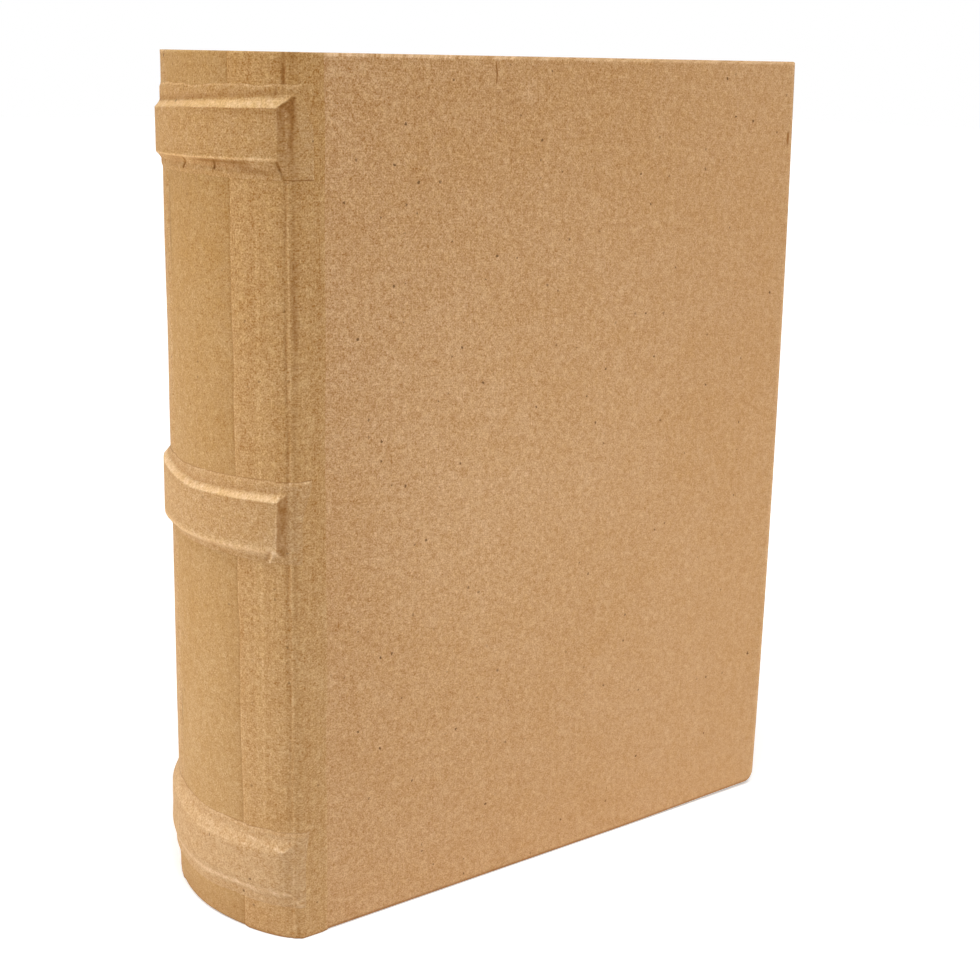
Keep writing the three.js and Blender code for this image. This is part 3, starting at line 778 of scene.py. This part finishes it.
def makeBandPaper(place):
    # The sheet lies on the spine and the strip, and rises to the band's face over slopes whose height falls
    # off as a power of the distance, so that the least of the slopes at foot, top and ends holds.
    facts = bands[place]
    seed = facts["seed"]
    tab = max(facts["tab"])
    # closer lines at the front end and where the two slits are
    stations = steps((-tab, 9, 0.25), (9, 24.6, 0.45), (24.6, 28, 0.14), (28, 38.6, 0.5), (38.6, 44.6, 0.18),
                     (44.6, arcLength - 9, 0.7), (arcLength - 9, arcLength + tab, 0.4))
    low, high = facts["paperFoot"][1], max(facts["paperTop"])
    along, height = grid(stations, steps((low, high, 0.26)))
    # the sheet's own edges wander as cut paper does, and its tab on the cover is cut at a slant
    rise = (height - low) / (high - low)
    ragged = 0.05 * wander(along, 0.9, seed + 8)
    topEdge = alongPair(facts["paperTop"], along) + 0.34 * wander(along, 5.5, seed) + ragged
    footEdge = alongPair(facts["paperFoot"], along) + 0.12 * wander(along, 5.5, seed + 1) - ragged
    height = height + (topEdge - high) * ease((rise - 0.75) / 0.25)
    height = height + (footEdge - low) * ease((0.25 - rise) / 0.25)
    reach = between(facts["tab"], ease((rise - 0.45) / 0.55))
    front = unit(-along / tab)
    back = unit((along - arcLength) / tab)
    along = np.where(along < 0, -front * reach, np.where(along > arcLength, arcLength + back * reach, along))

    # level of what lies under the sheet
    nearest = np.minimum(along, arcLength - along)
    sunk, tone, ridge = hingeCreases(nearest, height, strip["seed"])
    onStrip = ease((stripEdge(height, strip["seed"]) - nearest + 0.2) / 2.4)
    base = 0.4 + 0.4 * onStrip + wave(along, height) - 0.75 * sunk
    # how far the band lifts the sheet: one on its face, falling off beyond its edges and its ends
    faceTop, faceFoot = bandLines(facts, along)
    upShare = (height - faceTop) / alongPair(facts["slopeUp"], along)
    downShare = (faceFoot - height) / alongPair(facts["slopeDown"], along)
    endAt = between(facts["end"], rise)
    endShare = (endAt - nearest) / facts["endSlope"]

    def falling(share, power):
        crisp = (1 - unit(share)) ** power
        rounded = 1 - ease((share + 0.35) / 1.35)
        return crisp * (1 - facts["soft"]) + rounded * facts["soft"]

    lifted = np.minimum(falling(upShare, facts["up"]), falling(downShare, facts["down"]))
    lifted = np.minimum(lifted, falling(endShare, 1.25))
    top = facts["lift"] + 0.5 * wave(along, height)
    level = (base + 0.4) * (1 - lifted) + top * lifted
    level = level + 0.045 * facts["soft"] * unevenness(along, height, 3.1, seed + 3)
    level = level + 0.014 * unevenness(along, height, 1.3, seed + 4)

    # painted highlights on the bevel (where the stretched paper is a little paler too), on the crests, along
    # the foot, on the end's edge and on the hinge ridge, and the pale cut top edge, partly a painted
    # highlight
    patchy = 0.5 + 0.5 * unevenness(along, height, 5, seed + 5)
    onFace = ease((nearest - endAt + 0.5) / 0.8)
    overHip = ease((upShare - endShare + 0.06) / 0.12)
    start, span = facts["bevelFrom"]
    bevel = ease((upShare + 0.05) / 0.08) * ease((1.0 - upShare) / 0.65) * overHip
    bevel = bevel * ease((nearest - start) / span)
    bevel = bevel * (1 - facts["cutHip"] * ease((endAt + 0.1 - nearest) / 0.4))
    crest = bell(height - faceTop, 0.28) * onFace
    footLine = bell(downShare - facts["footAt"], facts["footWide"]) * onFace
    sideEdge = bell(nearest - endAt, 0.3) * (upShare < 0.2) * (downShare < 0.6)
    toTop = topEdge - height
    wearAndHighlight = (alongPair(facts["bevelHighlight"], along) * bevel + facts["crestHighlight"] * crest
            + facts["footHighlight"] * footLine + facts["endEdgeHighlight"] * sideEdge
            + facts["topPale"] * (1 - 0.6 * patchy) * bell(toTop - 0.35, 0.24) + 0.75 * ridge)
    # painted shade in the hinge creases, a painted shadow along the paper's top edge, and painted shade above
    # the bevel, under the crests, below the foot, in the smear under the head band and on the end that falls
    # to the cover
    underHip = ease((endShare - np.maximum(upShare, downShare) + 0.02) / 0.1)
    endFace = ease((endShare + 0.02) / 0.1) * ease((1.2 - endShare) / 0.5) * underHip
    endShade = between(facts["endShade"], ease((rise - 0.35) / 0.5))
    streaked = 0.75 + 0.35 * unevenness(along, height * 0.3, 0.45, seed + 6)
    streaked = streaked + 0.2 * unevenness(along, height, 1.6, seed + 7)
    above = bell(height - faceTop - alongPair(facts["slopeUp"], along) - 0.1, 1.0)
    below = ease(downShare / 0.2) * ease((1.4 - downShare) / 0.6)
    under = bell(downShare - 0.3, 0.16) * ease((along - 13) / 3) * ease((38 - along) / 6)
    underCrest = ease((faceTop - height) / 0.3) * ease((3.4 - faceTop + height) / 3) * onFace
    shadeAndMarks = (0.6 * tone + facts["topShadow"] * (0.4 + 0.6 * patchy) * bell(toTop, facts["topWide"])
              + endShade * endFace * streaked + facts["aboveShade"] * above * onFace
              + facts["belowFootShade"] * below * patchy * onFace + facts["underShadow"] * under
              + alongPair(facts["underCrestShade"], along) * underCrest)
    # each mark adds its painted shade or highlight, or the dark of a slit or nick
    for *line, width, out, dark in marks[place]:
        strength = bell(fromLine(along, height, line), width)
        level = level + out * strength
        shadeAndMarks = shadeAndMarks + max(dark, 0) * strength
        wearAndHighlight = wearAndHighlight + max(-dark, 0) * strength
    toEdge = np.minimum.reduce([toTop, height - footEdge, along + reach])
    outer = onWrap(along, height, level - flush(toEdge, 1.5))
    inner = onWrap(along, height, level - book["paper"] + 0.01)
    made = makeSheet("band_paper_" + place + "_sheet", "band_kraft", outer, inner, along, height,
                     unit(shadeAndMarks), unit(wearAndHighlight), layer=7 + seed)
    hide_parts("band_paper_" + place, "band_tab_" + place)
    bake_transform(made)


def makeBandBoard(place):
    # the board strip under the paper: its top and foot follow the same two lines, a hair inside them
    facts = bands[place]
    clear = 0.25
    endAt = max(facts["end"]) + 0.6
    along, share = grid(steps((endAt, arcLength - endAt, 1.0)), steps((0, 1, 0.1)))
    faceTop, faceFoot = bandLines(facts, along)
    height = faceFoot + clear + (faceTop - faceFoot - 2 * clear) * share
    outer = onWrap(along, height, facts["lift"] - book["paper"] - 0.1 + 0.5 * wave(along, height))
    inner = onWrap(along, height, strip["level"] + 0.1 + 0.5 * wave(along, height))
    made = makeSheet("raised_band_" + place + "_slab", "greyboard", outer, inner, along, height, layer=51)
    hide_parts("raised_band_" + place)
    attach(made, "case")


for place in bands:
    makeBandPaper(place)
    makeBandBoard(place)
print("bands papered")


# The covers.
cover = {
    "round": 0.6, "cornerHead": 0.7, "cornerTail": 4.2, "turnIn": 12, "bow": 1.67, "step": 1.6,
    "outside": 37.0, "inside": 34.0, "start": 0.9, "board": 2.2, "tailRise": 1.0,
    # small marks: a line from point to point, its width and how dark it is (pale when below nought)
    "marks": [
        (71.8, 268.3, 72.15, 265.4, 0.22, 2.2), (72.15, 265.4, 72.0, 262.6, 0.2, 1.9),
        (72.6, 260.0, 76.9, 256.3, 0.45, 0.34), (76.9, 256.3, 81.0, 257.9, 0.45, 0.38),
        (76.9, 256.3, 77.3, 254.2, 0.5, 0.3), (83.0, 260.0, 86.0, 259.6, 0.5, -0.5),
        (204.3, 246.2, 204.3, 243.0, 0.45, 1.6),
    ],
}


def insetOutline(x, z, inset):
    # The border of a rectangle with rounded fore corners, shrunk evenly by the inset. Its fore-edge
    # bows out a little at mid height, and its tail rises a little towards the fore-edge. A corner point
    # leaves its square along the quarter circle.
    width, height = book["width"] - cover["start"], book["height"]
    x = cover["start"] + (x - cover["start"]) * (width - inset) / width
    z = height / 2 + (z - height / 2) * (height - 2 * inset) / height
    r = np.where(z > height / 2, max(cover["cornerHead"] - inset, 0.3), max(cover["cornerTail"] - inset, 0.3))
    foreX, low, high = book["width"] - inset, inset, height - inset
    a = unit((x - foreX + r) / r)
    b = np.where(z > height / 2, unit((z - high + r) / r), -unit((low + r - z) / r))
    x = x - r * a + r * a * np.sqrt(1 - b * b / 2)
    z = z - r * b + r * b * np.sqrt(1 - a * a / 2)
    x = x - cover["bow"] * (2 * z / height - 1) ** 2 * (x - cover["start"]) / width
    z = z + cover["tailRise"] * ease((x - 130) / 80) * unit(1 - z / height) ** 6
    return x, z


def coverBow(x, z, seed):
    # outward bow of the whole sheet: slow waves, gone at the hinge, and at the edges
    free = ease((x - 4) / 30) * ease((book["width"] - x) / 12)
    free = free * ease(z / 12) * ease((book["height"] - z) / 12)
    return free * (0.16 * unevenness(x, z, 62, seed) + 0.05 * unevenness(x, z, 13, seed + 1) - 0.12)


def makeCoverPaper(name, side, seed):
    # the face is a grid, and its border is carried round the turned edges as rings, each an inset outline
    # at the depth that the section through the edge gives
    r, step, width, top = cover["round"], cover["step"], book["width"], book["height"]
    # closer lines at the edges and where the scratch is
    xs = steps((cover["start"], 71, step), (71, 73, 0.16), (73, width - 6, step), (width - 6, width, 0.35))
    zs = steps((0, 6, 0.35), (6, top - 16, step), (top - 16, top - 6, 0.6), (top - 6, top, 0.3))
    x, z = grid(xs, zs)
    fx, fz = insetOutline(x, z, r)
    cells = np.arange(x.size).reshape(x.shape)
    # once round the three turned edges: tail edge out, fore-edge up, head edge back
    loop = np.concatenate([cells[:, 0], cells[-1, 1:-1], cells[::-1, -1]])
    bx, bz = x.ravel()[loop], z.ravel()[loop]
    bend = np.linspace(0, math.pi / 2, 5)[1:]
    depth = cover["outside"] - cover["inside"]
    section = [(r - r * math.sin(t), r - r * math.cos(t)) for t in bend]
    section += [(0, depth / 2), (0, depth - r)]
    section += [(r - r * math.cos(t), depth - r + r * math.sin(t)) for t in bend]
    section += [(4, depth), (8, depth), (cover["turnIn"] - 0.5, depth), (cover["turnIn"], depth - 0.12)]
    section = np.array(section)
    innerSection = section - leftOf(np.concatenate([[(r, 0)], section]))[1:] * book["paper"]
    bow = coverBow(fx, fz, seed)

    def at(px, pz, deep):
        return np.stack([px + foldX, side * (cover["outside"] - deep) + 0 * px, pz], -1)

    outer = [at(fx, fz, -bow).reshape(-1, 3)]
    inner = [at(fx, fz, book["paper"] - bow).reshape(-1, 3)]
    flatX, flatZ = [x.ravel()], [z.ravel()]
    for (inset, deep), (innerInset, innerDeep) in zip(section, innerSection):
        px, pz = insetOutline(bx, bz, inset)
        qx, qz = insetOutline(bx, bz, innerInset)
        outer.append(at(px, pz, deep))
        inner.append(at(qx, qz, innerDeep))
        flatX.append(px + 0.7 * deep)
        flatZ.append(pz + 0.7 * deep)
    rings = x.size + np.arange(len(section) * len(loop)).reshape(len(section), -1)
    rings = np.concatenate([loop[None, :], rings])
    quads = np.concatenate([cellQuads(cells), cellQuads(rings)])
    flatX, flatZ = np.concatenate(flatX), np.concatenate(flatZ)
    wearAndHighlight = 0.35 * bell(width - flatX, 0.9) * (0.7 + 0.5 * unevenness(flatX, flatZ, 3, seed + 5))
    wearAndHighlight = wearAndHighlight + headFringe(flatX, flatZ)
    # broad paler patches in the middle, partly the paper's own paler tone and partly a painted pool of light,
    # and a darker one towards the fore-edge
    wearAndHighlight = wearAndHighlight + 0.08 * bell(np.hypot(flatX - 95, flatZ - 138), 62)
    wearAndHighlight = wearAndHighlight + 0.09 * bell(np.hypot((flatX - 64) / 36, (flatZ - 126) / 72), 1)
    # darker along the tail: a painted contact shadow with a little soiling
    tone = tailShade(flatZ) + 0.07 * bell(np.hypot(flatX - 196, flatZ - 185), 55)
    if side < 0:
        for *line, wide, dark in cover["marks"]:
            strength = bell(fromLine(flatX, flatZ, line), wide)
            tone = tone + max(dark, 0) * strength
            wearAndHighlight = wearAndHighlight + max(-dark, 0) * strength
    return makeSheet(name, "cover_kraft", np.concatenate(outer), np.concatenate(inner), flatX, flatZ,
                     unit(tone), unit(wearAndHighlight), 11 + seed, quads)


def makeCoverBoard(name, side):
    # a flat board inside the paper, with the same bowed fore-edge, a hair clear of the paper all round
    width, top = book["width"], book["height"]
    x, z = grid(steps((cover["start"], width - 4, 10), (width - 4, width, 1)),
                steps((0, 4, 1), (4, top - 4, 6), (top - 4, top, 1)))
    px, pz = insetOutline(x, z, book["paper"] + 0.05)
    clear = 0.2
    outside = cover["outside"] - book["paper"] - clear
    levels = (outside, outside + clear - cover["board"])
    faces = [np.stack([px + foldX, side * y + 0 * px, pz], -1) for y in levels]
    return makeSheet(name, "greyboard", *faces, x, z, layer=61)


front = makeCoverPaper("front_cover_sheet", -1, 101)
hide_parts("front_cover_paper")
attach(front, "front_cover")
back = makeCoverPaper("back_cover_sheet", 1, 131)
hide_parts("back_cover_paper")
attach(back, "case")
for node, side, body in (("front_cover_board", -1, "front_cover"), ("back_cover_board", 1, "case")):
    slab = makeCoverBoard(node + "_slab", side)
    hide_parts(node)
    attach(slab, body)
print("covers papered")


# The lining inside the front cover.
lining = {"margin": 4, "level": -34.0, "slope": 1.4}


def makeLining():
    # a flat sheet that steps up by one paper over the edges of the turn-ins
    width, height, turn, margin = book["width"], book["height"], cover["turnIn"], lining["margin"]
    fore, foreEnd, top = width - turn, width - margin, height - margin
    # closer lines where it steps up
    xs = steps((cover["start"], fore - 7, 2.0), (fore - 7, fore + 5, 0.4), (fore + 5, foreEnd, 0.8))
    zs = steps((margin, 8, 0.8), (8, 16, 0.4), (16, height - 16, 2.0), (height - 16, height - 8, 0.4),
               (height - 8, top, 0.8))
    x, z = grid(xs, zs)
    inward = np.minimum.reduce([z, height - z, width - x])
    raised = 1 - ease((inward - turn + 0.2) / lining["slope"])
    slack = ease((inward - turn - 4) / 20) * ease((x - 6) / 20)
    y = lining["level"] + book["paper"] * raised + 0.05 * slack * unevenness(x, z, 40, 151)
    bowed = foldX + x - cover["bow"] * (2 * z / height - 1) ** 2 * x / width
    outer = np.stack([bowed, y, z], -1)
    inner = np.stack([bowed, y - book["paper"] + 0.02, z], -1)
    edge = np.minimum.reduce([z - margin, top - z, foreEnd - x])
    made = makeSheet("front_cover_lining_sheet", "tray_kraft", outer, inner, x, z,
                     0.25 * bell(inward - turn - 0.8, 0.7), 0.4 * bell(edge, 0.5), layer=31)
    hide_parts("front_cover_lining")
    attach(made, "front_cover")


makeLining()
print("lining laid")


def dressPacked():
    # the tray's boards and papers stay as they were packed, and get the papers' materials
    slots = {row["node"]: row["material_slot"] for row in frame["record"]["subparts"]}
    for node, made in frame["nodes"].items():
        for slot in made.material_slots:
            slot.material = packedPaper[slots[node]]
    print("packed pieces dressed:", len(slots))


dressPacked()
